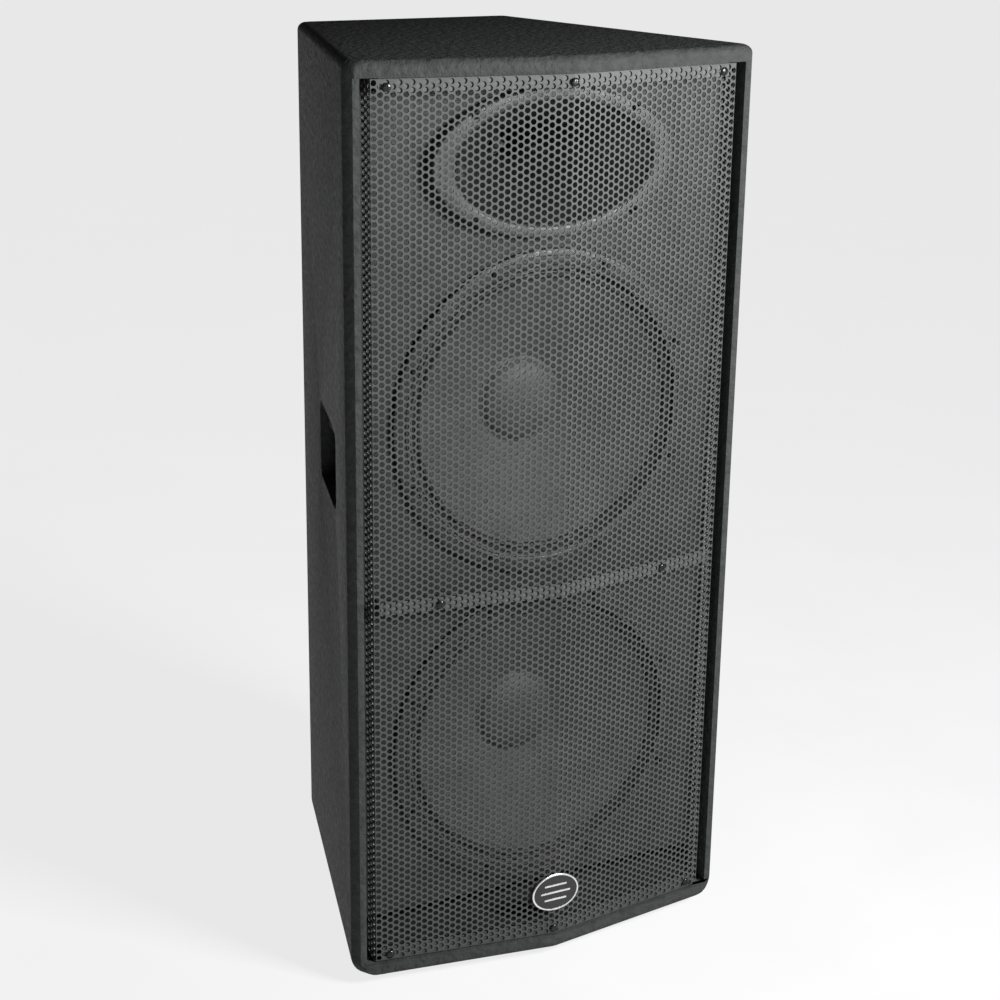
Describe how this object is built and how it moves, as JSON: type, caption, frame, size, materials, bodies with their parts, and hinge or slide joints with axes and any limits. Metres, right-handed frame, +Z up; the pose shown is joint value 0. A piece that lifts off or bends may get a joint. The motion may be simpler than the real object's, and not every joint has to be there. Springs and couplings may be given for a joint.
{
  "type": "pa speaker cabinet",
  "caption": "Passive PA speaker cabinet: tapered painted wood box with a folded perforated grille, stacked woofers, an elliptical horn, a slot port and recessed side handles.",
  "frame": {"origin": "on the floor, under the middle of the cabinet's bounding box", "axes": "+Z up, the grille faces -Y, +X to the right for someone who looks at the grille"},
  "size_m": [0.5026, 0.46, 1.092],
  "materials": {
    "painted_board": "satin textured black paint on plywood",
    "black_board": "matte black paint on plywood",
    "bare_board": "bare birch plywood",
    "grille_steel": "satin dark grey powder coat",
    "badge_plate": "dark field with a bright rim",
    "screw_black": "semi-gloss black",
    "frame_paint": "satin charcoal paint",
    "surround_cloth": "doped cloth",
    "cone_paper": "pressed dark paper",
    "coil_wire": "lacquered copper wire",
    "spider_cloth": "resin-stiffened cloth",
    "plated_steel": "zinc plated",
    "magnet_ferrite": "sintered ferrite",
    "horn_plastic": "satin moulded",
    "driver_steel": "zinc plated",
    "diaphragm_metal": "thin formed sheet",
    "driver_cap": "moulded",
    "cup_plastic": "fine moulded grain",
    "bar_plastic": "fine moulded grain",
    "connector_steel": "satin black",
    "socket_plastic": "moulded",
    "switch_case": "moulded",
    "switch_knob": "moulded",
    "circuit_board": "solder mask",
    "copper_wire": "lacquered copper wire",
    "capacitor_film": "wrapped film",
    "foot_rubber": "matte"
  },
  "bodies": {
    "cabinet": {"top_panel": "painted_board", "bottom_panel": "painted_board", "left_side_panel": "painted_board", "right_side_panel": "painted_board", "rear_panel": "painted_board", "front_baffle": "black_board", "top_batten": "black_board", "middle_rib": "black_board", "port_floor": "black_board", "port_shelf": "bare_board", "cross_brace": "bare_board", "grille": "grille_steel", "badge": "badge_plate", "grille_screw_1": "screw_black", "grille_screw_2": "screw_black", "grille_screw_3": "screw_black", "grille_screw_4": "screw_black", "grille_screw_5": "screw_black", "grille_screw_6": "screw_black", "grille_screw_7": "screw_black", "grille_screw_8": "screw_black", "upper_woofer_frame": "frame_paint", "upper_woofer_surround": "surround_cloth", "upper_woofer_spider": "spider_cloth", "upper_woofer_top_plate": "plated_steel", "upper_woofer_pole_piece": "plated_steel", "upper_woofer_magnet": "magnet_ferrite", "lower_woofer_frame": "frame_paint", "lower_woofer_surround": "surround_cloth", "lower_woofer_spider": "spider_cloth", "lower_woofer_top_plate": "plated_steel", "lower_woofer_pole_piece": "plated_steel", "lower_woofer_magnet": "magnet_ferrite", "horn_flare": "horn_plastic", "driver_body": "driver_steel", "driver_cap": "driver_cap", "left_handle_cup": "cup_plastic", "left_handle_bar": "bar_plastic", "right_handle_cup": "cup_plastic", "right_handle_bar": "bar_plastic", "connector_plate": "connector_steel", "input_socket": "socket_plastic", "link_socket": "socket_plastic", "mode_switch_body": "switch_case", "crossover_board": "circuit_board", "crossover_inductor": "copper_wire", "crossover_capacitor": "capacitor_film", "front_left_foot": "foot_rubber", "front_right_foot": "foot_rubber", "rear_left_foot": "foot_rubber", "rear_right_foot": "foot_rubber"},
    "upper_cone": {"upper_woofer_cone": "cone_paper", "upper_woofer_voice_coil": "coil_wire"},
    "lower_cone": {"lower_woofer_cone": "cone_paper", "lower_woofer_voice_coil": "coil_wire"},
    "driver_dome": {"driver_diaphragm": "diaphragm_metal"},
    "mode_switch": {"mode_switch_slider": "switch_knob"}
  },
  "joints": [
    {"name": "upper_cone_travel", "type": "slide", "parent": "cabinet", "child": "upper_cone", "axis": [0, -1, 0], "range_m": [-0.006, 0.006], "stiffness_N_per_m": 5000, "deforming": ["upper_woofer_surround", "upper_woofer_spider"]},
    {"name": "lower_cone_travel", "type": "slide", "parent": "cabinet", "child": "lower_cone", "axis": [0, -1, 0], "range_m": [-0.006, 0.006], "stiffness_N_per_m": 5000, "deforming": ["lower_woofer_surround", "lower_woofer_spider"]},
    {"name": "driver_dome_travel", "type": "slide", "parent": "cabinet", "child": "driver_dome", "axis": [0, -1, 0], "range_m": [-0.0004, 0.0004], "stiffness_N_per_m": 2000},
    {"name": "mode_switch_travel", "type": "slide", "parent": "cabinet", "child": "mode_switch", "axis": [1, 0, 0], "range_m": [0, 0.006]}
  ]
}
